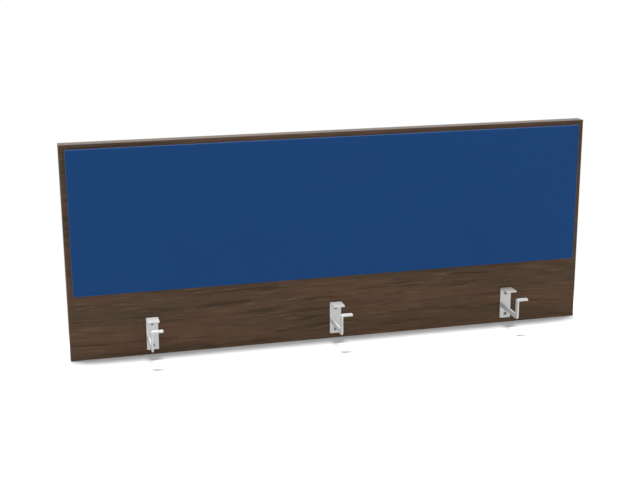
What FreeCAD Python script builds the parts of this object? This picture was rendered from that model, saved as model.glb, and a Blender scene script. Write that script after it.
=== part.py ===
"""Desk privacy panel: a laminated board with a fabric pad and three hooks for a desk's edge.

Millimetres. X runs along the panel, the pad and the hooks face -Y, Z is up. The origin is the
middle of the board's bottom face.
"""

import FreeCAD, Part

import math
import os

# Board
BOARD_LENGTH = 1600.0
BOARD_HEIGHT = 640.0
BOARD_THICK = 38.0
LAMINATE = 0.8
EDGE_BAND = 2.0
BAND_ROUNDING = 1.0

# Fabric pad
PAD_SIDE_MARGIN = 17.0
PAD_TOP_MARGIN = 14.0
PAD_HEIGHT = 428.0
PAD_PROUD = 12.0
PAD_CORNER = 3.0
PAD_ROUNDING = 2.5
COVER_THICK = 1.0
PAD_BOARD_THICK = 5.0
HEM_WIDTH = 30.0

# Push-in clips that hold the pad on the board
CLIP_COLUMNS = 4
CLIP_INSET_X = 90.0
CLIP_INSET_Z = 60.0
SOCKET_RADIUS = 6.0
SOCKET_DEPTH = 10.0
SOCKET_BORE = 3.4
SOCKET_LIP = 2.9
SOCKET_LIP_DEPTH = 1.5
STUD_DISC_RADIUS = 9.0
STUD_SHANK_RADIUS = 2.5
STUD_SHANK_DEPTH = 4.0
STUD_REACH = 8.0
STUD_BULB_RADIUS = 3.2
STUD_BULB_LENGTH = 4.0

# Staples through the hem
STAPLE_PITCH = 100.0
STAPLE_CROWN = 10.0
STAPLE_WIRE = 0.6
STAPLE_WIDTH = 0.9
STAPLE_LEG = 4.0
STAPLE_INSET = 15.0

# Hooks, from flat steel
HOOK_SPACING = 560.0
HOOK_TOP = 116.0
PLATE_WIDTH = 35.0
PLATE_HEIGHT = 100.0
PLATE_THICK = 4.0
PLATE_CORNER = 2.0
PLATE_BEND = 5.0
FLANGE_REACH = 48.0
ARM_THICK = 5.0
ARM_WIDTH = 15.0
ARM_REACH = 135.0
ARM_BOTTOM = 53.0
ARM_CORNER = 9.0
ARM_INNER_CORNER = 2.0
TAB_LENGTH = 35.0
TAB_BEND = 7.0
TAB_CORNER = 2.0
WELD_LEG = 2.5
STEEL_EDGE = 0.5

# Fixing holes
PLATE_HOLE_BELOW_TOP = (18.5, 86.5)
FLANGE_HOLE_REACH = 29.0
TAB_HOLE_ALONG = 23.0
DESK_HOLE_RADIUS = 2.75
SCREW_HOLE_RADIUS = 3.2

# M6 countersunk screws and the threaded inserts they go into
SCREW_RADIUS = 2.95
SCREW_LENGTH = 15.0
SCREW_HEAD_RADIUS = 5.8
SCREW_HEAD_DEPTH = 2.85
SCREW_SUNK = 0.2
SCREW_SOCKET_FLATS = 4.0
SCREW_SOCKET_DEPTH = 2.2
SCREW_END = 0.8
SINK_CLEARANCE = 0.1
INSERT_RADIUS = 5.0
INSERT_ROOT_RADIUS = 4.2
INSERT_BORE = 3.0
INSERT_LENGTH = 13.0
INSERT_PITCH = 2.5

# Worked out from the sizes above
FRONT = -BOARD_THICK / 2
BACK = BOARD_THICK / 2
CORE_FRONT = FRONT + LAMINATE
CORE_BACK = BACK - LAMINATE
CORE_LENGTH = BOARD_LENGTH - 2 * EDGE_BAND
CORE_HEIGHT = BOARD_HEIGHT - 2 * EDGE_BAND
PAD_LENGTH = BOARD_LENGTH - 2 * PAD_SIDE_MARGIN
PAD_TOP = BOARD_HEIGHT - PAD_TOP_MARGIN
PAD_BOTTOM = PAD_TOP - PAD_HEIGHT
PAD_FACE = FRONT - PAD_PROUD
PAD_BOARD_BACK = FRONT - COVER_THICK
PAD_BOARD_FACE = PAD_BOARD_BACK - PAD_BOARD_THICK
FOAM_FACE = PAD_FACE + COVER_THICK
PLATE_FACE = FRONT - PLATE_THICK
PLATE_BOTTOM = HOOK_TOP - PLATE_HEIGHT
FLANGE_FRONT = FRONT - FLANGE_REACH
FLANGE_UNDER = HOOK_TOP - PLATE_THICK
ARM_FRONT = FRONT - ARM_REACH
ARM_TOP = ARM_BOTTOM + ARM_WIDTH
LEG_BACK = ARM_FRONT + ARM_WIDTH
TAB_MIDDLE = ARM_FRONT + ARM_WIDTH / 2
SCREW_FACE = PLATE_FACE + SCREW_SUNK

HOOKS = {
    "left": -HOOK_SPACING,
    "centre": 0.0,
    "right": HOOK_SPACING,
}

X_AXIS = FreeCAD.Vector(1, 0, 0)
Y_AXIS = FreeCAD.Vector(0, 1, 0)
Z_AXIS = FreeCAD.Vector(0, 0, 1)


def point(x, y, z):
    return FreeCAD.Vector(x, y, z)


def block(low, high):
    """A box between two opposite corners."""
    size = [b - a for a, b in zip(low, high)]
    return Part.makeBox(*size, point(*low))


def rod(radius, start, length, axis):
    return Part.makeCylinder(radius, length, point(*start), axis)


def rounded(solid, radius, wanted):
    """The solid with the edges that wanted() picks rounded off."""
    edges = [edge for edge in solid.Edges if wanted(edge)]
    return solid.makeFillet(radius, edges)


def runs_along(edge, axis):
    return edge.Curve.TypeId == "Part::GeomLine" and edge.Curve.Direction.cross(axis).Length < 1e-6


def outline(pieces):
    """A face from straight runs and arcs, given as lists of two or three points."""
    edges = []
    for points in pieces:
        if len(points) == 2:
            edges.append(Part.LineSegment(*points).toShape())
        else:
            edges.append(Part.Arc(*points).toShape())
    return Part.Face(Part.Wire(edges))


def turned(profile, start, axis):
    """A solid of revolution: profile holds (distance along the axis, radius) pairs."""
    points = [point(radius, 0, along) for along, radius in profile]
    face = Part.Face(Part.makePolygon(points + points[:1]))
    solid = face.revolve(point(0, 0, 0), Z_AXIS, 360)
    solid.Placement = FreeCAD.Placement(point(*start), FreeCAD.Rotation(Z_AXIS, axis))
    return solid


# Places of repeated pieces


def screw_places(hook_x):
    """Both screws of one hook's plate, on its centre line."""
    return [(hook_x, HOOK_TOP - below) for below in PLATE_HOLE_BELOW_TOP]


def clip_places():
    """Two rows of clips, evenly spread over the pad."""
    first = -PAD_LENGTH / 2 + CLIP_INSET_X
    step = (PAD_LENGTH - 2 * CLIP_INSET_X) / (CLIP_COLUMNS - 1)
    rows = (PAD_BOTTOM + CLIP_INSET_Z, PAD_TOP - CLIP_INSET_Z)
    return [(first + step * column, z) for column in range(CLIP_COLUMNS) for z in rows]


def staple_places():
    """Middle of each staple and whether it lies along X, round the four sides of the hem."""
    places = []
    across = PAD_LENGTH / 2 - STAPLE_INSET
    low = PAD_BOTTOM + STAPLE_INSET
    high = PAD_TOP - STAPLE_INSET
    along_count = int(PAD_LENGTH / STAPLE_PITCH)
    up_count = int(PAD_HEIGHT / STAPLE_PITCH)
    for index in range(along_count):
        x = (index + 0.5 - along_count / 2) * STAPLE_PITCH
        places += [(x, low, True), (x, high, True)]
    for index in range(up_count):
        z = (low + high) / 2 + (index + 0.5 - up_count / 2) * STAPLE_PITCH
        places += [(-across, z, False), (across, z, False)]
    return places


# Board


def fixing_holes():
    """Everything drilled into the board's front: for the inserts and for the clip sockets."""
    drills = []
    for hook_x in HOOKS.values():
        for x, z in screw_places(hook_x):
            drills.append(rod(INSERT_RADIUS, (x, FRONT, z), INSERT_LENGTH, Y_AXIS))
    for x, z in clip_places():
        drills.append(rod(SOCKET_RADIUS, (x, FRONT, z), SOCKET_DEPTH, Y_AXIS))
    return Part.makeCompound(drills)


def board_layer(y_low, y_high):
    half = CORE_LENGTH / 2
    return block((-half, y_low, EDGE_BAND), (half, y_high, EDGE_BAND + CORE_HEIGHT))


def board_core():
    return board_layer(CORE_FRONT, CORE_BACK).cut(fixing_holes())


def front_laminate():
    return board_layer(FRONT, CORE_FRONT).cut(fixing_holes())


def back_laminate():
    return board_layer(CORE_BACK, BACK)


def level_band(z_inner, z_outer, half):
    """A band along the top or bottom edge, with its two outer long edges rounded."""
    low, high = sorted((z_inner, z_outer))
    band = block((-half, FRONT, low), (half, BACK, high))
    return rounded(
        band,
        BAND_ROUNDING,
        lambda edge: runs_along(edge, X_AXIS) and abs(edge.CenterOfMass.z - z_outer) < 1e-6,
    )


def upright_band(side):
    """A band on the left (-1) or right (1) edge, from the floor up to the top band."""
    outer = side * BOARD_LENGTH / 2
    inner = outer - side * EDGE_BAND
    low, high = sorted((inner, outer))
    band = block((low, FRONT, 0), (high, BACK, EDGE_BAND + CORE_HEIGHT))
    return rounded(
        band,
        BAND_ROUNDING,
        lambda edge: runs_along(edge, Z_AXIS) and abs(edge.CenterOfMass.x - outer) < 1e-6,
    )


# Fabric pad


def pad_slab(inset, y_low, y_high, soft_front=False):
    """A slab of the pad's outline, drawn in by inset on all four sides."""
    half = PAD_LENGTH / 2 - inset
    slab = block((-half, y_low, PAD_BOTTOM + inset), (half, y_high, PAD_TOP - inset))
    if inset < PAD_CORNER:
        slab = rounded(slab, PAD_CORNER - inset, lambda edge: runs_along(edge, Y_AXIS))
    if soft_front:
        slab = rounded(
            slab, PAD_ROUNDING - inset, lambda edge: abs(edge.CenterOfMass.y - y_low) < 1e-6
        )
    return slab


def staple(x, z, level):
    """One staple in the hem: a crown and two legs that go forward into the pad's board."""
    long_half = STAPLE_CROWN / 2
    wide_half = STAPLE_WIDTH / 2
    across = (long_half, wide_half) if level else (wide_half, long_half)
    crown_front = FRONT - STAPLE_WIRE
    low = (x - across[0], crown_front, z - across[1])
    high = (x + across[0], FRONT, z + across[1])
    wire = block(low, high)
    for side in (-1, 1):
        shift = side * (long_half - STAPLE_WIRE / 2)
        leg_x = x + shift if level else x
        leg_z = z if level else z + shift
        half_x = STAPLE_WIRE / 2 if level else wide_half
        half_z = wide_half if level else STAPLE_WIRE / 2
        leg_low = (leg_x - half_x, crown_front - STAPLE_LEG, leg_z - half_z)
        leg_high = (leg_x + half_x, crown_front, leg_z + half_z)
        wire = wire.fuse(block(leg_low, leg_high))
    return wire.removeSplitter()


def pad_staples():
    return Part.makeCompound([staple(x, z, level) for x, z, level in staple_places()])


def pad_board():
    slab = pad_slab(COVER_THICK, PAD_BOARD_FACE, PAD_BOARD_BACK)
    shanks = [
        rod(STUD_SHANK_RADIUS, (x, PAD_BOARD_BACK - STUD_SHANK_DEPTH, z), STUD_SHANK_DEPTH, Y_AXIS)
        for x, z in clip_places()
    ]
    return slab.cut(Part.makeCompound(shanks)).cut(pad_staples())


def pad_foam():
    return pad_slab(COVER_THICK, FOAM_FACE, PAD_BOARD_FACE, soft_front=True)


def pad_fabric():
    """The cover: its face, its four wrapped sides and the hem stapled to the back."""
    outer = pad_slab(0, PAD_FACE, FRONT, soft_front=True)
    filling = pad_slab(COVER_THICK, FOAM_FACE, PAD_BOARD_BACK, soft_front=True)
    window = pad_slab(HEM_WIDTH, PAD_BOARD_BACK, FRONT)
    return outer.cut(filling).cut(window).cut(pad_staples())


def clip_stud(x, z):
    """A disc behind the pad's board, a shank into it and a bulb that snaps into the socket."""
    neck = STUD_REACH - STUD_BULB_LENGTH
    profile = [
        (-COVER_THICK - STUD_SHANK_DEPTH, 0),
        (-COVER_THICK - STUD_SHANK_DEPTH, STUD_SHANK_RADIUS),
        (-COVER_THICK, STUD_SHANK_RADIUS),
        (-COVER_THICK, STUD_DISC_RADIUS),
        (0, STUD_DISC_RADIUS),
        (0, STUD_SHANK_RADIUS),
        (neck, STUD_SHANK_RADIUS),
        (neck + STUD_BULB_LENGTH / 3, STUD_BULB_RADIUS),
        (STUD_REACH, STUD_SHANK_RADIUS / 2),
        (STUD_REACH, 0),
    ]
    return turned(profile, (x, FRONT, z), Y_AXIS)


def clip_socket(x, z):
    """A cup pressed into the board, with a lip that the stud's bulb snaps past."""
    profile = [
        (0, SOCKET_LIP),
        (0, SOCKET_RADIUS),
        (SOCKET_DEPTH, SOCKET_RADIUS),
        (SOCKET_DEPTH, 0),
        (SOCKET_DEPTH - COVER_THICK, 0),
        (SOCKET_DEPTH - COVER_THICK, SOCKET_BORE),
        (SOCKET_LIP_DEPTH, SOCKET_BORE),
        (SOCKET_LIP_DEPTH, SOCKET_LIP),
    ]
    return turned(profile, (x, FRONT, z), Y_AXIS)


# Hooks


def plate_and_flange(x):
    """A strip folded once: the plate screwed to the board and the flange under the desktop."""
    inner = PLATE_BEND - PLATE_THICK
    turn = PLATE_BEND * (1 - math.sqrt(0.5))
    inner_turn = inner * (1 - math.sqrt(0.5))
    left = x - PLATE_WIDTH / 2
    bend_top = point(left, FRONT - PLATE_BEND, HOOK_TOP)
    bend_back = point(left, FRONT, HOOK_TOP - PLATE_BEND)
    inner_top = point(left, PLATE_FACE - inner, FLANGE_UNDER)
    inner_low = point(left, PLATE_FACE, FLANGE_UNDER - inner)
    flange_top = point(left, FLANGE_FRONT, HOOK_TOP)
    flange_low = point(left, FLANGE_FRONT, FLANGE_UNDER)
    foot_front = point(left, PLATE_FACE, PLATE_BOTTOM)
    foot_back = point(left, FRONT, PLATE_BOTTOM)
    face = outline([
        (foot_back, bend_back),
        (bend_back, point(left, FRONT - turn, HOOK_TOP - turn), bend_top),
        (bend_top, flange_top),
        (flange_top, flange_low),
        (flange_low, inner_top),
        (inner_top, point(left, PLATE_FACE - inner_turn, FLANGE_UNDER - inner_turn), inner_low),
        (inner_low, foot_front),
        (foot_front, foot_back),
    ])
    strip = face.extrude(X_AXIS * PLATE_WIDTH)
    strip = rounded(
        strip,
        PLATE_CORNER,
        lambda edge: runs_along(edge, Y_AXIS) and edge.CenterOfMass.z < PLATE_BOTTOM + STEEL_EDGE,
    )
    strip = rounded(
        strip,
        PLATE_CORNER,
        lambda edge: runs_along(edge, Z_AXIS) and edge.CenterOfMass.y < FLANGE_FRONT + STEEL_EDGE,
    )
    return rounded(strip, STEEL_EDGE, lambda edge: on_open_side(edge))


def on_open_side(edge):
    """Edges of the folded strip that aren't against the board."""
    middle = edge.CenterOfMass
    on_plate_face = abs(middle.y - PLATE_FACE) < 1e-6
    on_flange_top = abs(middle.z - HOOK_TOP) < 1e-6 and middle.y < FRONT - PLATE_BEND
    return on_plate_face or on_flange_top


def arm(x):
    """A flat bar on edge, out from the plate and up at its far end."""
    left = x - PLATE_WIDTH / 2
    turn = ARM_CORNER * (1 - math.sqrt(0.5))
    inner_turn = ARM_INNER_CORNER * (1 - math.sqrt(0.5))
    top = HOOK_TOP - TAB_BEND
    root_low = point(left, PLATE_FACE, ARM_BOTTOM)
    corner_back = point(left, ARM_FRONT + ARM_CORNER, ARM_BOTTOM)
    corner_up = point(left, ARM_FRONT, ARM_BOTTOM + ARM_CORNER)
    inner_up = point(left, LEG_BACK, ARM_TOP + ARM_INNER_CORNER)
    inner_back = point(left, LEG_BACK + ARM_INNER_CORNER, ARM_TOP)
    root_high = point(left, PLATE_FACE, ARM_TOP)
    face = outline([
        (root_low, corner_back),
        (corner_back, point(left, ARM_FRONT + turn, ARM_BOTTOM + turn), corner_up),
        (corner_up, point(left, ARM_FRONT, top)),
        (point(left, ARM_FRONT, top), point(left, LEG_BACK, top)),
        (point(left, LEG_BACK, top), inner_up),
        (inner_up, point(left, LEG_BACK + inner_turn, ARM_TOP + inner_turn), inner_back),
        (inner_back, root_high),
        (root_high, root_low),
    ])
    return face.extrude(X_AXIS * ARM_THICK)


def tab(x):
    """The top of the bar, folded over along X and pressed under the desktop."""
    left = x - PLATE_WIDTH / 2
    inner = TAB_BEND - ARM_THICK
    turn = TAB_BEND * (1 - math.sqrt(0.5))
    inner_turn = inner * (1 - math.sqrt(0.5))
    low = HOOK_TOP - TAB_BEND
    under = HOOK_TOP - ARM_THICK
    end = left + TAB_LENGTH
    inside = left + ARM_THICK
    y = ARM_FRONT
    face = outline([
        (point(inside, y, low), point(left, y, low)),
        (point(left, y, low), point(left + turn, y, HOOK_TOP - turn), point(left + TAB_BEND, y, HOOK_TOP)),
        (point(left + TAB_BEND, y, HOOK_TOP), point(end, y, HOOK_TOP)),
        (point(end, y, HOOK_TOP), point(end, y, under)),
        (point(end, y, under), point(left + TAB_BEND, y, under)),
        (
            point(left + TAB_BEND, y, under),
            point(inside + inner_turn, y, under - inner_turn),
            point(inside, y, low),
        ),
    ])
    strip = face.extrude(Y_AXIS * ARM_WIDTH)
    return rounded(
        strip,
        TAB_CORNER,
        lambda edge: runs_along(edge, Z_AXIS) and edge.CenterOfMass.x > end - STEEL_EDGE,
    )


def bent_bar(x):
    """Arm, leg and tab in one piece, with its long edges eased."""
    bar = arm(x).fuse(tab(x)).removeSplitter()
    left = x - PLATE_WIDTH / 2

    def eased(edge):
        middle = edge.CenterOfMass
        return middle.y < PLATE_FACE - WELD_LEG and (
            middle.x < left + ARM_THICK / 2 or middle.z > HOOK_TOP - STEEL_EDGE
        )

    return rounded(bar, STEEL_EDGE, eased)


def weld(x):
    """The fillet weld where the arm meets the plate."""
    side = x - PLATE_WIDTH / 2 + ARM_THICK
    low = point(side, PLATE_FACE, ARM_BOTTOM)
    corners = [low, low + X_AXIS * WELD_LEG, low - Y_AXIS * WELD_LEG, low]
    return Part.Face(Part.makePolygon(corners)).extrude(Z_AXIS * ARM_WIDTH)


def hook_drills(x):
    """Countersunk holes for the board's screws and plain ones for the desktop's."""
    left = x - PLATE_WIDTH / 2
    drills = [
        rod(DESK_HOLE_RADIUS, (x, FRONT - FLANGE_HOLE_REACH, FLANGE_UNDER), PLATE_THICK, Z_AXIS),
        rod(DESK_HOLE_RADIUS, (left + TAB_HOLE_ALONG, TAB_MIDDLE, HOOK_TOP - ARM_THICK), ARM_THICK, Z_AXIS),
    ]
    mouth = SCREW_HEAD_RADIUS + SINK_CLEARANCE + SCREW_SUNK
    depth = mouth - SCREW_HOLE_RADIUS
    for hole_x, z in screw_places(x):
        drills.append(rod(SCREW_HOLE_RADIUS, (hole_x, PLATE_FACE, z), PLATE_THICK, Y_AXIS))
        drills.append(
            Part.makeCone(mouth, SCREW_HOLE_RADIUS, depth, point(hole_x, PLATE_FACE, z), Y_AXIS)
        )
    return Part.makeCompound(drills)


def hook(x):
    """The folded strip, and the bar that is welded to it."""
    drills = hook_drills(x)
    strip = plate_and_flange(x).cut(drills)
    bar = bent_bar(x).fuse(weld(x)).removeSplitter().cut(drills)
    return Part.makeCompound(strip.Solids + bar.Solids)


# Screws and inserts


def screw(x, z):
    """An M6 countersunk screw with a hexagon socket, threaded stretch as a plain cylinder."""
    profile = [
        (0, 0),
        (0, SCREW_HEAD_RADIUS),
        (SCREW_HEAD_DEPTH, SCREW_RADIUS),
        (SCREW_LENGTH - SCREW_END, SCREW_RADIUS),
        (SCREW_LENGTH, SCREW_RADIUS - SCREW_END),
        (SCREW_LENGTH, 0),
    ]
    body = turned(profile, (x, SCREW_FACE, z), Y_AXIS)
    reach = SCREW_SOCKET_FLATS / math.sqrt(3)
    corners = []
    for index in range(6):
        angle = math.radians(60 * index)
        corners.append(point(x + reach * math.cos(angle), SCREW_FACE, z + reach * math.sin(angle)))
    socket = Part.Face(Part.makePolygon(corners + corners[:1]))
    return body.cut(socket.extrude(Y_AXIS * SCREW_SOCKET_DEPTH))


def threaded_insert(x, z):
    """A screw-in insert: a bored barrel with coarse ridges that grip the chipboard."""
    profile = [(0, INSERT_BORE), (0, INSERT_RADIUS)]
    along = INSERT_PITCH / 2
    while along + INSERT_PITCH < INSERT_LENGTH:
        profile.append((along, INSERT_RADIUS))
        profile.append((along + INSERT_PITCH / 4, INSERT_ROOT_RADIUS))
        profile.append((along + INSERT_PITCH / 2, INSERT_ROOT_RADIUS))
        profile.append((along + INSERT_PITCH * 3 / 4, INSERT_RADIUS))
        along += INSERT_PITCH
    profile += [(INSERT_LENGTH, INSERT_ROOT_RADIUS), (INSERT_LENGTH, INSERT_BORE)]
    return turned(profile, (x, FRONT, z), Y_AXIS)


def each_place(make, places):
    return Part.makeCompound([make(x, z) for x, z in places])


def all_parts():
    band_top = EDGE_BAND + CORE_HEIGHT
    parts = {
        "board_core": board_core(),
        "front_laminate": front_laminate(),
        "back_laminate": back_laminate(),
        "edge_band_top": level_band(band_top, BOARD_HEIGHT, BOARD_LENGTH / 2),
        "edge_band_bottom": level_band(EDGE_BAND, 0, CORE_LENGTH / 2),
        "edge_band_left": upright_band(-1),
        "edge_band_right": upright_band(1),
        "pad_board": pad_board(),
        "pad_foam": pad_foam(),
        "pad_fabric": pad_fabric(),
        "pad_staples": pad_staples(),
        "pad_clip_studs": each_place(clip_stud, clip_places()),
        "pad_clip_sockets": each_place(clip_socket, clip_places()),
    }
    for side, x in HOOKS.items():
        parts["bracket_" + side] = hook(x)
        parts["bracket_screws_" + side] = each_place(screw, screw_places(x))
        parts["threaded_inserts_" + side] = each_place(threaded_insert, screw_places(x))
    return parts


def main():
    os.makedirs("parts", exist_ok=True)
    for name, shape in all_parts().items():
        shape.exportStep(os.path.join("parts", name + ".step"))


main()
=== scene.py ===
"""Looks of the desk privacy panel: walnut board, fabric pad, powder-coated hooks and the stage.

Everything is in metres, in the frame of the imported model: X along the panel, Z up, and the pad
and the hooks face -Y.
"""

import math

import bmesh
import bpy
from bpy.props import FloatProperty, FloatVectorProperty, IntProperty, PointerProperty
from mathutils import Matrix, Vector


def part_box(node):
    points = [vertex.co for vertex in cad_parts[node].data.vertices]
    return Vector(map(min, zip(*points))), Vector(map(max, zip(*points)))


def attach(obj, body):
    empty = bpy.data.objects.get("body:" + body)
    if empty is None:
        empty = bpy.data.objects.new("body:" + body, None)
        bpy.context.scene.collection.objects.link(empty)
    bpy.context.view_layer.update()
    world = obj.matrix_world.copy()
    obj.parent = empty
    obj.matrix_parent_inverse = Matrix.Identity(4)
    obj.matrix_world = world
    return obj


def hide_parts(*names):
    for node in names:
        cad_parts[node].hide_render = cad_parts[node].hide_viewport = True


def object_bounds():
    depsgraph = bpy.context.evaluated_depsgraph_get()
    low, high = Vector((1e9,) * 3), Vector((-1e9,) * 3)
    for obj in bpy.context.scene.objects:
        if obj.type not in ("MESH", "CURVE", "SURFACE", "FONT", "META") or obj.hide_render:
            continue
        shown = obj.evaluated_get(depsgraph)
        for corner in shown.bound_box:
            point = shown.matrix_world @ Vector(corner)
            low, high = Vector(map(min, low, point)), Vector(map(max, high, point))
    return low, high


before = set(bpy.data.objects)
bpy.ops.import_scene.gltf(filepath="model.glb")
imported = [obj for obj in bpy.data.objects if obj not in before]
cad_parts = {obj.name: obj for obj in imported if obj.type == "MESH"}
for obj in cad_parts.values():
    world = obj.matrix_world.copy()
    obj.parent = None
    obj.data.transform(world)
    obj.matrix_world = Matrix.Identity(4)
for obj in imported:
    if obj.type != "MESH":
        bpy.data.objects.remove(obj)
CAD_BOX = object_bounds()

bl_info = {
    "name": "Desk Privacy Panel",
    "version": (1, 0, 0),
    "blender": (4, 5, 0),
    "location": "View3D > Sidebar > Privacy Panel",
    "description": "Finishes and fabric for a desk privacy panel, and a stage to show it on",
    "category": "Object",
}

BODY = "root"
SIDES = ("left", "centre", "right")
MM = 0.001

# The cover, in metres
CLOTH_THICKNESS = 0.0009
BACK_ROUNDING = 0.001
HEM_INSETS = (0.002, 0.005, 0.010, 0.020, 0.030)
HEM_DEPTH = 0.0003
WELD_DISTANCE = 0.00005
CLOTH_QUALITY = 5
CLOTH_STIFFNESS = 40.0


def colour(name, text, default):
    """A linear colour that the sidebar shows as a swatch."""
    return FloatVectorProperty(
        name=name, description=text, default=default, subtype="COLOR", min=0.0, max=1.0
    )


def length(name, text, default):
    """A length in metres."""
    return FloatProperty(name=name, description=text, default=default, unit="LENGTH", precision=4)


def share(name, text, default):
    """A number from 0 to 1."""
    return FloatProperty(
        name=name, description=text, default=default, subtype="FACTOR", min=0.0, max=1.0
    )


# Sizes and colours


class WalnutLook(bpy.types.PropertyGroup):
    """Colours and grain of the walnut decor."""

    red_brown: colour("Red brown", "The warm bands", (0.093, 0.051, 0.0285))
    grey_brown: colour("Grey brown", "The cool bands", (0.068, 0.043, 0.0245))
    dark_line: colour("Dark line", "Late wood and pores", (0.024, 0.014, 0.008))
    pale_line: colour("Pale line", "The light flecks", (0.150, 0.097, 0.062))
    wander: length("Wander", "How far the grain drifts off straight", 0.045)
    roughness: share("Roughness", "Mean roughness of the satin face", 0.48)


class FabricLook(bpy.types.PropertyGroup):
    """Colours and weave of the pad's cover."""

    yarn: colour("Yarn", "Main colour of the yarn", (0.0105, 0.050, 0.160))
    # Partly painted shade, laid deep in the weave where the yarns dip, and partly the darker cloudy
    # patches
    dark_yarn_and_weave_shade: colour("Dark yarn", "Colour deep in the weave", (0.0065, 0.034, 0.115))
    yarn_pale: colour("Pale yarn", "Colour of the lighter fibres", (0.0135, 0.061, 0.185))
    pitch: length("Yarn pitch", "From one yarn to the next", 0.0011)


class PadShape(bpy.types.PropertyGroup):
    """Shape of the pad's cover."""

    corner: length("Corner", "Radius of the corners of the pad's outline", 0.003)
    rounding: length("Rounding", "Radius of the edges round the pad's face", 0.0025)
    mesh_pitch: length("Mesh pitch", "Spacing of the cloth's mesh", 0.016)
    swell: length("Swell", "The most that the cloth may rise over the foam", 0.0012)
    pressure: FloatProperty(
        name="Pressure", description="How hard the foam pushes the cloth out", default=4.0
    )
    steps: IntProperty(name="Steps", description="Frames that the cloth is simulated for", default=20)
    fold_length: length("Corner fold", "Length of the tuck at each corner", 0.016)
    fold_height: length("Fold height", "How far a corner tuck stands out", 0.0007)


class SteelLook(bpy.types.PropertyGroup):
    """Colours of the hooks, screws and inserts."""

    coat: colour("Powder coat", "Colour of the hooks", (0.530, 0.530, 0.525))
    coat_pale: colour("Coat flecks", "Colour of the coat's lighter flecks", (0.60, 0.60, 0.59))
    zinc: colour("Zinc", "Colour of the screws", (0.20, 0.20, 0.21))
    # Painted shade: a near-black colour for the shadow and some dark residue down in the screws'
    # sockets
    socket_shade_and_residue: colour("Socket", "Colour down in the screws' sockets", (0.006, 0.006, 0.006))


class StageLook(bpy.types.PropertyGroup):
    """Camera, floor and light."""

    camera_left: length("Camera left", "How far left of the panel's middle the camera stands", 0.9063)
    camera_back: length("Camera back", "How far in front of the board's face it stands", 3.3158)
    camera_up: length("Camera up", "How far above the floor it stands", 1.2236)
    turn: FloatProperty(
        name="Turn", description="Turn to the right", default=math.radians(14.523), subtype="ANGLE"
    )
    tip: FloatProperty(
        name="Tip", description="Tip below level", default=math.radians(14.873), subtype="ANGLE"
    )
    roll: FloatProperty(
        name="Roll", description="Roll of the camera", default=math.radians(-0.27), subtype="ANGLE"
    )
    lens: FloatProperty(name="Lens", description="Focal length in millimetres", default=66.326)
    floor: colour("Floor", "Colour of the floor", (0.60, 0.60, 0.60))
    floor_reach: length("Floor reach", "How far the floor goes to the front and sides", 6.0)
    floor_behind: length("Floor behind", "How far the floor goes behind the board", 0.2)
    surround: FloatProperty(
        name="Surround", description="Strength of the white room all round", default=1.0
    )
    overhead: FloatProperty(
        name="Overhead", description="Strength of the light above the panel", default=2.07
    )
    overhead_tilt: FloatProperty(
        name="Overhead tilt",
        description="How far behind the panel that light stands",
        default=math.radians(3.5),
        subtype="ANGLE",
    )
    overhead_width: FloatProperty(
        name="Overhead width",
        description="Width of the light above, as seen from the floor",
        default=math.radians(9.0),
        subtype="ANGLE",
    )
    floor_light: FloatProperty(
        name="Floor light", description="Strength of all the floor's lamps together", default=3.4
    )
    floor_lamps: IntProperty(
        name="Floor lamps", description="How many lamps stand in the floor's row", default=5, min=2
    )
    floor_tilt: FloatProperty(
        name="Floor lamp tilt",
        description="How far behind the panel the floor's lamps stand",
        default=math.radians(3.3),
        subtype="ANGLE",
    )
    floor_width: FloatProperty(
        name="Floor lamp width",
        description="Width of each of the floor's lamps, as seen from the floor",
        default=math.radians(5.2),
        subtype="ANGLE",
    )
    floor_lean: FloatProperty(
        name="Floor lamp lean",
        description="How far the last lamp of the row leans to the side",
        default=math.radians(8.0),
        subtype="ANGLE",
    )
    front_fill: FloatProperty(
        name="Front fill", description="Strength of the level light from the front", default=0.47
    )
    hook_lamp: FloatProperty(
        name="Hook lamp", description="Power of the lamp up on the left, for the hooks", default=285.0
    )
    hook_lamp_height: length("Hook lamp height", "How high above the hooks that lamp hangs", 3.0)
    hook_lamp_lean: FloatProperty(
        name="Hook lamp lean",
        description="How far its beam leans to the right",
        default=math.radians(12.0),
        subtype="ANGLE",
    )
    hook_lamp_cone: FloatProperty(
        name="Hook lamp cone",
        description="Width of the cone in which the hook lamp's light fades out",
        default=math.radians(34.0),
        subtype="ANGLE",
    )


# Materials


class Value:
    """A node's output. Arithmetic on it adds Math nodes."""

    def __init__(self, finish, output):
        self.finish = finish
        self.output = output

    def __add__(self, other):
        return self.finish.math("ADD", self, other)

    def __sub__(self, other):
        return self.finish.math("SUBTRACT", self, other)

    def __mul__(self, other):
        return self.finish.math("MULTIPLY", self, other)

    def __truediv__(self, other):
        return self.finish.math("DIVIDE", self, other)

    def __mod__(self, other):
        return self.finish.math("FLOORED_MODULO", self, other)

    def __gt__(self, other):
        return self.finish.math("GREATER_THAN", self, other)

    def __abs__(self):
        return self.finish.math("ABSOLUTE", self)

    def __radd__(self, other):
        return self.finish.math("ADD", other, self)

    def __rsub__(self, other):
        return self.finish.math("SUBTRACT", other, self)

    def __rmul__(self, other):
        return self.finish.math("MULTIPLY", other, self)

    def __rtruediv__(self, other):
        return self.finish.math("DIVIDE", other, self)


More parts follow.
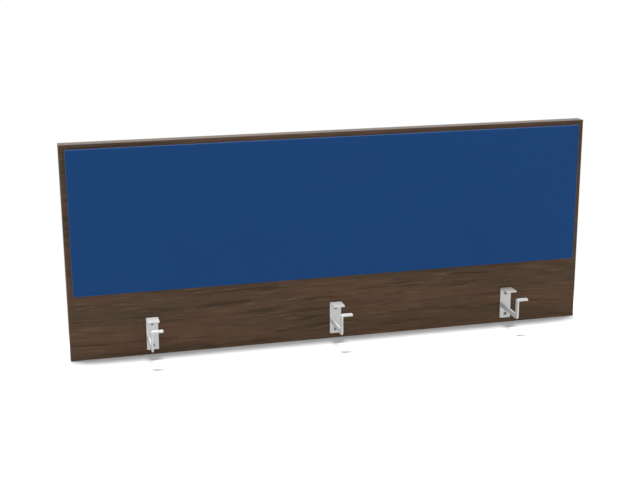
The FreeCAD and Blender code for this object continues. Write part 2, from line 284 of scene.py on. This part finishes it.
class Finish:
    """A material being made: nodes are added to it one at a time."""

    def __init__(self, name, roughness=0.5, **fixed):
        self.material = bpy.data.materials.new(name)
        self.material.use_nodes = True
        self.tree = self.material.node_tree
        self.shader = self.tree.nodes["Principled BSDF"]
        self.set_surface({"Roughness": roughness, **fixed})

    def set_surface(self, sockets):
        """Sets or links the surface shader's sockets."""
        for name, value in sockets.items():
            self.feed(self.shader.inputs[name], value)

    def feed(self, socket, value):
        if isinstance(value, Value):
            self.tree.links.new(value.output, socket)
        elif socket.type == "RGBA":
            socket.default_value = (*value[:3], 1.0)
        else:
            socket.default_value = value

    def node(self, kind, settings=None, sockets=None, output=0):
        """Adds a node, sets it up, feeds its sockets and gives one of its outputs."""
        node = self.tree.nodes.new(kind)
        for name, value in (settings or {}).items():
            setattr(node, name, value)
        for key, value in (sockets or {}).items():
            self.feed(node.inputs[key], value)
        return Value(self, node.outputs[output])

    def math(self, operation, *values):
        return self.node("ShaderNodeMath", {"operation": operation}, dict(enumerate(values)))

    def sine(self, value):
        return self.math("SINE", value)

    def place(self):
        """X, Y and Z in the frame, in metres."""
        corner = self.node("ShaderNodeTexCoord", output="Object")
        return [
            self.node("ShaderNodeSeparateXYZ", sockets={0: corner}, output=axis) for axis in "XYZ"
        ]

    def noise(self, x, y, z=0.0, detail=2.0, roughness=0.5):
        """Noise whose features are about as wide as one unit of x, y and z."""
        spot = self.node("ShaderNodeCombineXYZ", sockets={0: x, 1: y, 2: z})
        return self.node(
            "ShaderNodeTexNoise",
            {"noise_dimensions": "3D"},
            {"Vector": spot, "Scale": 1.0, "Detail": detail, "Roughness": roughness},
        )

    def between(self, value, low, high):
        """0 below low, 1 above high and smooth in between."""
        return self.node(
            "ShaderNodeMapRange",
            {"interpolation_type": "SMOOTHSTEP"},
            {"Value": value, "From Min": low, "From Max": high},
        )

    def blend(self, mask, first, second):
        """The first colour where mask is 0 and the second where it is 1."""
        colours = {0: mask, 6: first, 7: second}
        return self.node("ShaderNodeMix", {"data_type": "RGBA"}, colours, output=2)

    def bump(self, height, depth, normal=None):
        """A normal from a height from 0 to 1, with its depth in metres."""
        sockets = {"Height": height, "Distance": depth, "Strength": 1.0}
        if normal is not None:
            sockets["Normal"] = normal
        return self.node("ShaderNodeBump", sockets=sockets)


def walnut(name, look, grain_axis, shift=0.0, lacquer=0.0):
    """Printed walnut decor, with its grain along one axis of the frame."""
    fixed = {"Specular IOR Level": 0.10, "Coat Roughness": 0.22, "Coat IOR": 1.5}
    finish = Finish(name, **fixed, **{"Coat Weight": lacquer})
    x, y, z = finish.place()
    along = (x if grain_axis == "X" else z) + shift
    across = (z if grain_axis == "X" else x) + y
    drift = finish.noise(along * 1.8, across * 3.0, detail=2.0) - 0.5
    ripple = finish.noise(along * 8.0, across * 22.0, detail=1.0) - 0.5
    bent = across + drift * look.wander + ripple * (look.wander * 0.09)
    bands = finish.noise(along * 1.6, bent * 12.0, detail=2.0, roughness=0.55)
    rings = finish.noise(along * 3.6, bent * 60.0, 3.0, detail=2.0, roughness=0.6)
    lines = finish.noise(along * 8.0, bent * 200.0, 7.0, detail=2.0, roughness=0.6)
    flecks = finish.noise(along * 10.0, bent * 170.0, 11.0, detail=2.0, roughness=0.5)
    fibres = finish.noise(along * 40.0, bent * 1500.0, 15.0, detail=2.0, roughness=0.6)
    pores = finish.noise(along * 110.0, bent * 2600.0, 19.0, detail=0.0)
    wood = finish.blend(finish.between(bands, 0.36, 0.62), look.grey_brown, look.red_brown)
    wood = finish.blend(finish.between(rings, 0.50, 0.72) * 0.55, wood, look.dark_line)
    wood = finish.blend(finish.between(lines, 0.52, 0.74) * 0.65, wood, look.dark_line)
    wood = finish.blend(finish.between(flecks, 0.55, 0.75) * 0.60, wood, look.pale_line)
    wood = finish.blend(finish.between(fibres, 0.45, 0.75) * 0.30, wood, look.dark_line)
    pore_mask = finish.between(pores, 0.64, 0.72)
    wood = finish.blend(pore_mask * 0.6, wood, look.dark_line)
    height = fibres * 0.35 + lines * 0.25 - pore_mask * 0.8
    finish.set_surface({
        "Base Color": wood,
        "Roughness": look.roughness + (rings - 0.5) * 0.16 + (fibres - 0.5) * 0.12,
        "Normal": finish.bump(height, 0.05 * MM),
    })
    return finish.material


def pressed_wood(name, pale, dark, chip):
    """Raw pressed wood, from chips about as long as chip."""
    finish = Finish(name, roughness=0.85)
    x, y, z = finish.place()
    chips = finish.noise(x / chip, y * 3.0 / chip, z * 1.7 / chip, detail=3.0, roughness=0.65)
    dust = finish.noise(x * 6.0 / chip, y * 6.0 / chip, z * 6.0 / chip, detail=2.0)
    mask = finish.between(chips, 0.38, 0.64)
    shade = finish.blend(mask, dark, pale)
    shade = finish.blend(finish.between(dust, 0.55, 0.75) * 0.4, shade, dark)
    height = chips * 0.7 + dust * 0.3
    finish.set_surface({"Base Color": shade, "Normal": finish.bump(height, 0.2 * MM)})
    return finish.material


def foam():
    """Open-cell foam."""
    finish = Finish("open_foam", roughness=0.95)
    x, y, z = finish.place()
    cells = finish.noise(x * 900.0, y * 900.0, z * 900.0, detail=1.0)
    shade = finish.blend(finish.between(cells, 0.35, 0.6), (0.30, 0.29, 0.26), (0.62, 0.60, 0.54))
    finish.set_surface({"Base Color": shade, "Normal": finish.bump(cells, 0.3 * MM)})
    return finish.material


def woven_fabric(look):
    """Plain-weave upholstery: yarns over and under each other, with lighter and darker fibres and
    painted shade where the weave dips between yarns.
    """
    fixed = {"Sheen Weight": 0.35, "Sheen Roughness": 0.3, "Specular IOR Level": 0.04}
    finish = Finish("woven_blue_fabric", roughness=0.92, **fixed)
    x, y, z = finish.place()
    sag = finish.noise(x * 45.0, z * 45.0, detail=1.0) - 0.5
    across = (x + sag * (0.3 * look.pitch)) / look.pitch
    up = (z + y + sag * (0.3 * look.pitch)) / look.pitch
    warp = abs(finish.sine(across * math.pi))
    weft = abs(finish.sine(up * math.pi))
    column = finish.math("FLOOR", across)
    row = finish.math("FLOOR", up)
    over = (column + row) % 2.0 > 0.5
    height = over * warp * (0.55 + 0.45 * weft) + (1 - over) * weft * (0.55 + 0.45 * warp)
    fibres = finish.noise(across * 1.7, up * 1.7, 5.0, detail=3.0, roughness=0.7)
    warp_tone = finish.noise(column * 0.73, up * 0.06, 9.0, detail=1.0)
    weft_tone = finish.noise(row * 0.73, across * 0.06, 13.0, detail=1.0)
    tone = over * warp_tone + (1 - over) * weft_tone
    cloudy = finish.noise(x * 5.0, z * 5.0, 17.0, detail=2.0)
    shade = finish.blend(finish.between(tone, 0.35, 0.68), look.yarn, look.yarn_pale)
    # Painted shade: the colour darkens where the weave dips between yarns
    shade = finish.blend((1 - finish.between(height, 0.05, 0.55)) * 0.8, shade, look.dark_yarn_and_weave_shade)
    shade = finish.blend(finish.between(fibres, 0.60, 0.80) * 0.35, shade, look.yarn_pale)
    shade = finish.blend(finish.between(cloudy, 0.45, 0.75) * 0.10, shade, look.dark_yarn_and_weave_shade)
    finish.set_surface({
        "Base Color": shade,
        "Roughness": 0.86 + fibres * 0.12,
        "Normal": finish.bump(height + fibres * 0.35, 0.22 * MM),
    })
    return finish.material


def powder_coat(look):
    """Light grey powder coat: a fine pebbled skin with faint flecks."""
    finish = Finish("powder_coat", **{"IOR": 1.5, "Specular IOR Level": 0.45})
    x, y, z = finish.place()
    pebble = finish.noise(x * 1600.0, y * 1600.0, z * 1600.0, detail=1.0)
    flow = finish.noise(x * 240.0, y * 240.0, z * 240.0 + 21.0, detail=2.0)
    fleck = finish.noise(x * 2600.0, y * 2600.0, z * 2600.0, detail=0.0)
    handled = finish.noise(x * 35.0, y * 35.0, z * 35.0, detail=3.0, roughness=0.6)
    shade = finish.blend(finish.between(fleck, 0.58, 0.70) * 0.5, look.coat, look.coat_pale)
    finish.set_surface({
        "Base Color": shade,
        "Roughness": 0.40 + (handled - 0.5) * 0.14 + pebble * 0.06,
        "Normal": finish.bump(pebble * 0.6 + flow * 0.4, 0.05 * MM),
    })
    return finish.material


def worn_metal(name, metal, roughness, streak):
    """Plated steel: faint turning marks and dull patches."""
    finish = Finish(name)
    x, y, z = finish.place()
    marks = finish.noise(x * 300.0, y * streak, z * 300.0, detail=2.0)
    patches = finish.noise(x * 180.0, y * 180.0, z * 180.0 + 3.0, detail=3.0, roughness=0.6)
    dull = [share_of * 0.7 for share_of in metal]
    finish.set_surface({
        "Base Color": finish.blend(finish.between(patches, 0.45, 0.75) * 0.6, metal, dull),
        "Metallic": 0.75,
        "Roughness": roughness + (patches - 0.5) * 0.25,
        "Normal": finish.bump(marks, 0.03 * MM),
    })
    return finish.material


def screw_zinc(look, socket_start):
    """Zinc-plated screw heads, with painted shade and dark residue down in the hexagon socket, which
    starts at one Y.
    """
    finish = Finish("screw_zinc", **{"Specular IOR Level": 0.4})
    x, y, z = finish.place()
    marks = finish.noise(x * 700.0, y * 700.0, z * 700.0, detail=2.0)
    patches = finish.noise(x * 260.0, y * 260.0, z * 260.0 + 3.0, detail=3.0, roughness=0.6)
    dull = [part * 0.75 for part in look.zinc]
    shade = finish.blend(finish.between(patches, 0.45, 0.75) * 0.6, look.zinc, dull)
    # Painted shade: the colour darkens to near black down in the socket, for its shadow and some dark
    # residue
    depth = finish.between(y, socket_start, socket_start + 0.5 * MM)
    shade = finish.blend(depth, shade, look.socket_shade_and_residue)
    finish.set_surface({
        "Base Color": shade,
        "Metallic": 0.35 - depth * 0.35,
        "Roughness": 0.42 + (patches - 0.5) * 0.2 + depth * 0.4,
        "Normal": finish.bump(marks, 0.03 * MM),
    })
    return finish.material


def moulded_plastic(name, plain, pale):
    """Moulded plastic with a fine spark-eroded texture."""
    finish = Finish(name)
    x, y, z = finish.place()
    texture = finish.noise(x * 1500.0, y * 1500.0, z * 1500.0, detail=1.0)
    flow = finish.noise(x * 120.0, y * 120.0, z * 120.0 + 3.0, detail=2.0)
    finish.set_surface({
        "Base Color": finish.blend(finish.between(flow, 0.4, 0.7) * 0.6, plain, pale),
        "Roughness": 0.45 + (texture - 0.5) * 0.2,
        "Normal": finish.bump(texture, 0.04 * MM),
    })
    return finish.material


# Pieces


def paint(material, *nodes):
    """Gives CAD nodes one material."""
    for name in nodes:
        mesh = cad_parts[name].data
        mesh.materials.clear()
        mesh.materials.append(material)


def new_piece(name, mesh, material=None):
    """A new object in the scene from a mesh."""
    piece = bpy.data.objects.new(name, mesh)
    bpy.context.scene.collection.objects.link(piece)
    if material is not None:
        mesh.materials.clear()
        mesh.materials.append(material)
    return piece


def spread(low, high, pitch, near_edge):
    """Places from low to high: close together near both ends, and about pitch apart between."""
    inner_low = low + near_edge[-1]
    inner_high = high - near_edge[-1]
    count = max(1, round((inner_high - inner_low) / pitch))
    middle = [inner_low + (inner_high - inner_low) * step / count for step in range(count + 1)]
    start = [low + inset for inset in near_edge[:-1]]
    end = [high - inset for inset in reversed(near_edge[:-1])]
    return start + middle + end


def wrap_section(rounding, deep):
    """(inset, depth) pairs from the face's border, round its edge and back under the hem."""
    steps = 5
    front = [math.pi / 2 * step / steps for step in range(1, steps + 1)]
    section = [(rounding * (1 - math.sin(a)), rounding * (1 - math.cos(a))) for a in front]
    side = deep - BACK_ROUNDING
    section += [(0.0, rounding + (side - rounding) * part) for part in (0.2, 0.5, 0.8, 1.0)]
    section += [
        (BACK_ROUNDING * (1 - math.cos(a)), side + BACK_ROUNDING * math.sin(a)) for a in front
    ]
    section += [(inset, deep) for inset in HEM_INSETS]
    return section


class CoverMaker:
    """Builds the pad's cover: its face, its rounded and wrapped edges and the hem behind."""

    near_edge = (0.0, 0.0009, 0.0022, 0.0045, 0.0085, 0.015)

    def __init__(self, low, high, shape):
        self.low = low
        self.high = high
        self.shape = shape
        self.deep = high.y - low.y
        self.mesh = bmesh.new()
        border = shape.rounding
        pitch = shape.mesh_pitch
        self.xs = spread(low.x + border, high.x - border, pitch, self.near_edge)
        self.zs = spread(low.z + border, high.z - border, pitch, self.near_edge)

    def ring_places(self, inset):
        """X and Z of each point of a ring, in order round the pad, drawn in by inset."""
        x_low, x_high = self.low.x + inset, self.high.x - inset
        z_low, z_high = self.low.z + inset, self.high.z - inset
        keep_x = [min(max(x, x_low), x_high) for x in self.xs[1:-1]]
        keep_z = [min(max(z, z_low), z_high) for z in self.zs[1:-1]]
        bottom = [(x, z_low) for x in [x_low] + keep_x]
        right = [(x_high, z) for z in [z_low] + keep_z]
        top = [(x, z_high) for x in [x_high] + keep_x[::-1]]
        left = [(x_low, z) for z in [z_high] + keep_z[::-1]]
        return [self.round_off(x, z, inset) for x, z in bottom + right + top + left]

    def round_off(self, x, z, inset):
        """Moves a place near a corner of a ring onto the corner's arc."""
        radius = self.shape.corner - inset
        middle_x = (self.low.x + self.high.x) / 2
        middle_z = (self.low.z + self.high.z) / 2
        end_x = (self.high.x - self.low.x) / 2 - inset
        end_z = (self.high.z - self.low.z) / 2 - inset
        from_x = end_x - abs(x - middle_x)
        from_z = end_z - abs(z - middle_z)
        if radius <= 0 or max(from_x, from_z) >= radius:
            return x, z
        turn = math.pi / 4 * (1 - max(from_x, from_z) / radius)
        near = radius * (1 - math.cos(turn))
        far = radius * (1 - math.sin(turn))
        in_x, in_z = (near, far) if from_x <= from_z else (far, near)
        return (
            middle_x + math.copysign(end_x - in_x, x - middle_x),
            middle_z + math.copysign(end_z - in_z, z - middle_z),
        )

    def tuck(self, x, z, depth):
        """How far the corner fold on the top and bottom sides stands out at a place."""
        from_end = min(x - self.low.x, self.high.x - x)
        reach = self.shape.fold_length * depth / self.deep
        if from_end <= 0 or reach <= 0:
            return 0.0
        return self.shape.fold_height * min(1.0, max(0.0, (reach - from_end) / (1.5 * MM)))

    def add_face(self):
        y = self.low.y
        rows = [[self.mesh.verts.new((x, y, z)) for x in self.xs] for z in self.zs]
        for lower, upper in zip(rows, rows[1:]):
            for column in range(len(lower) - 1):
                self.mesh.faces.new(
                    (lower[column], lower[column + 1], upper[column + 1], upper[column])
                )
        bottom = rows[0][:-1]
        right = [row[-1] for row in rows[:-1]]
        top = rows[-1][:0:-1]
        left = [row[0] for row in rows[:0:-1]]
        return bottom + right + top + left

    def add_wrap(self, ring):
        for inset, depth in wrap_section(self.shape.rounding, self.deep):
            places = self.ring_places(inset)
            following = []
            for x, z in places:
                out = self.tuck(x, z, depth) if inset == 0.0 else 0.0
                up = out if z > (self.low.z + self.high.z) / 2 else -out
                following.append(self.mesh.verts.new((x, self.low.y + depth, z + up)))
            count = len(ring)
            for here in range(count):
                after = (here + 1) % count
                corners = (ring[here], following[here], following[after], ring[after])
                self.mesh.faces.new(corners)
            ring = following

    def build(self, name):
        """The finished mesh and the numbers of its hem's points, which the staples hold."""
        self.add_wrap(self.add_face())
        # The cloth solver gives up on edges of no length, which the hem has at its corners.
        bmesh.ops.remove_doubles(self.mesh, verts=self.mesh.verts, dist=WELD_DISTANCE)
        self.mesh.verts.index_update()
        hem_start = self.high.y - HEM_DEPTH
        held = [vert.index for vert in self.mesh.verts if vert.co.y > hem_start]
        for face in self.mesh.faces:
            face.smooth = True
        mesh = bpy.data.meshes.new(name)
        self.mesh.to_mesh(mesh)
        self.mesh.free()
        return mesh, held


def swell(cover, held, shape):
    """Lets the foam's pressure push the cloth out, and keeps the result as the cover's mesh."""
    scene = bpy.context.scene
    pins = cover.vertex_groups.new(name="hem")
    pins.add(held, 1.0, "REPLACE")
    cloth = cover.modifiers.new("Cloth", "CLOTH")
    cloth.settings.quality = CLOTH_QUALITY
    cloth.settings.use_pressure = True
    cloth.settings.uniform_pressure_force = shape.pressure
    cloth.settings.effector_weights.gravity = 0.0
    cloth.settings.vertex_group_mass = "hem"
    cloth.settings.tension_stiffness = CLOTH_STIFFNESS
    cloth.settings.compression_stiffness = CLOTH_STIFFNESS
    cloth.collision_settings.use_collision = False
    cloth.point_cache.frame_start = 1
    cloth.point_cache.frame_end = shape.steps
    for step in range(1, shape.steps + 1):
        scene.frame_set(step)
    seen = cover.evaluated_get(bpy.context.evaluated_depsgraph_get())
    moves = [after.co - before.co for after, before in zip(seen.data.vertices, cover.data.vertices)]
    furthest = max(move.length for move in moves)
    if furthest == 0.0:
        raise RuntimeError("the cloth didn't move")
    # The cloth moves much further than the foam lets it, so every move is scaled down alike.
    keep = min(1.0, shape.swell / furthest)
    cover.modifiers.remove(cloth)
    for vertex, move in zip(cover.data.vertices, moves):
        vertex.co += move * keep
    scene.frame_set(1)


def apply_modifiers(piece):
    """Makes what the modifiers show the piece's own mesh."""
    seen = piece.evaluated_get(bpy.context.evaluated_depsgraph_get())
    mesh = bpy.data.meshes.new_from_object(seen)
    piece.modifiers.clear()
    old = piece.data
    piece.data = mesh
    bpy.data.meshes.remove(old)


class PRIVACY_OT_board(bpy.types.Operator):
    """Gives the chipboard, the laminates and the edge bands their finish"""

    bl_idname = "privacy_panel.board"
    bl_label = "Board"

    def execute(self, context):
        look = context.scene.privacy_panel.walnut
        paint(walnut("walnut_face", look, "X"), "front_laminate")
        paint(walnut("walnut_back", look, "X", shift=5.0), "back_laminate")
        level = walnut("walnut_edge_level", look, "X", shift=9.0, lacquer=0.4)
        paint(level, "edge_band_top", "edge_band_bottom")
        upright = walnut("walnut_edge_upright", look, "Z", shift=13.0, lacquer=0.4)
        paint(upright, "edge_band_left", "edge_band_right")
        chips = pressed_wood("chipboard", (0.42, 0.29, 0.17), (0.17, 0.10, 0.05), 4.0 * MM)
        paint(chips, "board_core")
        return {"FINISHED"}


class PRIVACY_OT_cover(bpy.types.Operator):
    """Makes the pad's fabric cover and lets it swell over the foam"""

    bl_idname = "privacy_panel.cover"
    bl_label = "Fabric cover"

    def execute(self, context):
        panel = context.scene.privacy_panel
        maker = CoverMaker(*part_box("pad_fabric"), panel.pad)
        mesh, held = maker.build("fabric_cover")
        cover = new_piece("fabric_cover", mesh, woven_fabric(panel.fabric))
        swell(cover, held, panel.pad)
        smooth = cover.modifiers.new("Smooth", "SUBSURF")
        smooth.levels = 1
        thick = cover.modifiers.new("Thickness", "SOLIDIFY")
        thick.thickness = CLOTH_THICKNESS
        thick.offset = -1.0
        apply_modifiers(cover)
        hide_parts("pad_fabric")
        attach(cover, BODY)
        return {"FINISHED"}


class PRIVACY_OT_filling(bpy.types.Operator):
    """Finishes what is inside and behind the pad: foam, backing board, staples and clips"""

    bl_idname = "privacy_panel.filling"
    bl_label = "Pad filling and clips"

    def execute(self, context):
        paint(foam(), "pad_foam")
        fibres = pressed_wood("fibreboard", (0.30, 0.20, 0.12), (0.20, 0.13, 0.075), 0.9 * MM)
        paint(fibres, "pad_board")
        paint(worn_metal("staple_wire", (0.62, 0.62, 0.60), 0.35, 900.0), "pad_staples")
        plastic = moulded_plastic("clip_plastic", (0.72, 0.71, 0.68), (0.80, 0.79, 0.76))
        paint(plastic, "pad_clip_studs", "pad_clip_sockets")
        return {"FINISHED"}


class PRIVACY_OT_hooks(bpy.types.Operator):
    """Gives the three hooks their powder coat"""

    bl_idname = "privacy_panel.hooks"
    bl_label = "Hooks"

    def execute(self, context):
        coat = powder_coat(context.scene.privacy_panel.steel)
        paint(coat, *("bracket_" + side for side in SIDES))
        return {"FINISHED"}


class PRIVACY_OT_fixings(bpy.types.Operator):
    """Finishes the screws and the inserts that they go into"""

    bl_idname = "privacy_panel.fixings"
    bl_label = "Screws and inserts"

    def execute(self, context):
        look = context.scene.privacy_panel.steel
        head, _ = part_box("bracket_screws_centre")
        paint(
            screw_zinc(look, head.y + 0.3 * MM),
            *("bracket_screws_" + side for side in SIDES),
        )
        yellow_zinc = worn_metal("zinc_insert", (0.60, 0.54, 0.38), 0.4, 1200.0)
        paint(yellow_zinc, *("threaded_inserts_" + side for side in SIDES))
        return {"FINISHED"}


class PRIVACY_OT_stage(bpy.types.Operator):
    """Sets up the floor, the light and the camera"""

    bl_idname = "privacy_panel.stage"
    bl_label = "Stage"

    def execute(self, context):
        look = context.scene.privacy_panel.stage
        floor = self.add_floor(look)
        self.light_room(context.scene, look)
        self.add_sun("overhead", look.overhead, look.overhead_tilt, look.overhead_width)
        self.add_floor_lamps(look, floor)
        self.add_front_fill(look)
        self.add_hook_lamp(look)
        self.add_camera(context.scene, look)
        return {"FINISHED"}

    def add_floor(self, look):
        low, high = CAD_BOX
        reach = look.floor_reach
        behind = high.y + look.floor_behind
        mesh = bpy.data.meshes.new("floor")
        corners = [(-reach, -reach), (reach, -reach), (reach, behind), (-reach, behind)]
        mesh.from_pydata([(x, y, low.z) for x, y in corners], [], [(0, 1, 2, 3)])
        finish = Finish("floor", roughness=1.0, **{"Specular IOR Level": 0.0})
        finish.set_surface({"Base Color": look.floor})
        floor = new_piece("floor", mesh, finish.material)
        return floor

    def light_room(self, scene, look):
        world = bpy.data.worlds.new("surround")
        world.use_nodes = True
        background = world.node_tree.nodes["Background"]
        background.inputs["Color"].default_value = (1.0, 1.0, 1.0, 1.0)
        background.inputs["Strength"].default_value = look.surround
        scene.world = world
        scene.view_settings.view_transform = "Standard"

    def add_sun(self, name, strength, tilt, width, lean=0.0):
        """A distant lamp overhead, tilted to stand behind the panel and leaning along it."""
        lamp = bpy.data.lights.new(name, "SUN")
        lamp.energy = strength
        lamp.angle = width
        sun = bpy.data.objects.new(name, lamp)
        sun.rotation_euler = (-tilt, lean, 0.0)
        bpy.context.scene.collection.objects.link(sun)
        return sun

    def shine_only_on(self, light, objects):
        lit = bpy.data.collections.new("lit_by_" + light.name)
        for each in objects:
            lit.objects.link(each)
        light.light_linking.receiver_collection = lit

    def add_floor_lamps(self, look, floor):
        """A row of narrow lamps for the floor alone, which softens shadows along the panel."""
        for number in range(look.floor_lamps):
            lean = look.floor_lean * (2.0 * number / (look.floor_lamps - 1) - 1.0)
            strength = look.floor_light / look.floor_lamps
            name = f"floor_lamp_{number}"
            lamp = self.add_sun(name, strength, look.floor_tilt, look.floor_width, lean)
            lamp.data.cycles.max_bounces = 0
            self.shine_only_on(lamp, [floor])

    def add_front_fill(self, look):
        """A level light from the front. It gives a level floor nothing."""
        fill = self.add_sun("front_fill", look.front_fill, -math.pi / 2, look.overhead_width)
        fill.data.use_shadow = False

    def add_hook_lamp(self, look):
        lamp = bpy.data.lights.new("hook_lamp", "SPOT")
        lamp.energy = look.hook_lamp
        lamp.spot_size = look.hook_lamp_cone
        lamp.spot_blend = 1.0
        lamp.shadow_soft_size = 0.1
        lamp.use_shadow = False
        light = bpy.data.objects.new("hook_lamp", lamp)
        low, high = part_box("bracket_left")
        light.location = (
            low.x - math.tan(look.hook_lamp_lean) * look.hook_lamp_height,
            low.y,
            high.z + look.hook_lamp_height,
        )
        light.rotation_euler = (0.0, -look.hook_lamp_lean, 0.0)
        bpy.context.scene.collection.objects.link(light)
        self.shine_only_on(light, [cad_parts["bracket_" + side] for side in SIDES])

    def add_camera(self, scene, look):
        lens = bpy.data.cameras.new("camera")
        lens.lens = look.lens
        lens.sensor_width = 36.0
        camera = bpy.data.objects.new("camera", lens)
        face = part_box("front_laminate")[0].y
        camera.location = (-look.camera_left, face - look.camera_back, look.camera_up)
        level = math.pi / 2
        camera.matrix_world = (
            Matrix.Translation(camera.location)
            @ Matrix.Rotation(-look.turn, 4, "Z")
            @ Matrix.Rotation(level - look.tip, 4, "X")
            @ Matrix.Rotation(look.roll, 4, "Z")
        )
        scene.collection.objects.link(camera)
        scene.camera = camera


STEPS = (
    PRIVACY_OT_board,
    PRIVACY_OT_cover,
    PRIVACY_OT_filling,
    PRIVACY_OT_hooks,
    PRIVACY_OT_fixings,
    PRIVACY_OT_stage,
)
GROUPS = (WalnutLook, FabricLook, PadShape, SteelLook, StageLook)


class PrivacyPanelSettings(bpy.types.PropertyGroup):
    """All the sizes and colours that the steps use."""

    walnut: PointerProperty(type=WalnutLook)
    fabric: PointerProperty(type=FabricLook)
    pad: PointerProperty(type=PadShape)
    steel: PointerProperty(type=SteelLook)
    stage: PointerProperty(type=StageLook)


class PRIVACY_PT_sidebar(bpy.types.Panel):
    """Lists the steps and their settings"""

    bl_idname = "PRIVACY_PT_sidebar"
    bl_label = "Privacy Panel"
    bl_space_type = "VIEW_3D"
    bl_region_type = "UI"
    bl_category = "Privacy Panel"

    def draw(self, context):
        for step in STEPS:
            self.layout.operator(step.bl_idname)
        panel = context.scene.privacy_panel
        for group in PrivacyPanelSettings.__annotations__:
            box = self.layout.box()
            box.label(text=group.capitalize())
            settings = getattr(panel, group)
            for name in settings.__annotations__:
                box.prop(settings, name)


CLASSES = (*GROUPS, PrivacyPanelSettings, *STEPS, PRIVACY_PT_sidebar)


def register():
    for each in CLASSES:
        bpy.utils.register_class(each)
    bpy.types.Scene.privacy_panel = PointerProperty(type=PrivacyPanelSettings)


def unregister():
    del bpy.types.Scene.privacy_panel
    for each in reversed(CLASSES):
        bpy.utils.unregister_class(each)


def main():
    register()
    bpy.ops.privacy_panel.board()
    bpy.ops.privacy_panel.cover()
    bpy.ops.privacy_panel.filling()
    bpy.ops.privacy_panel.hooks()
    bpy.ops.privacy_panel.fixings()
    bpy.ops.privacy_panel.stage()


if __name__ == "__main__":
    main()
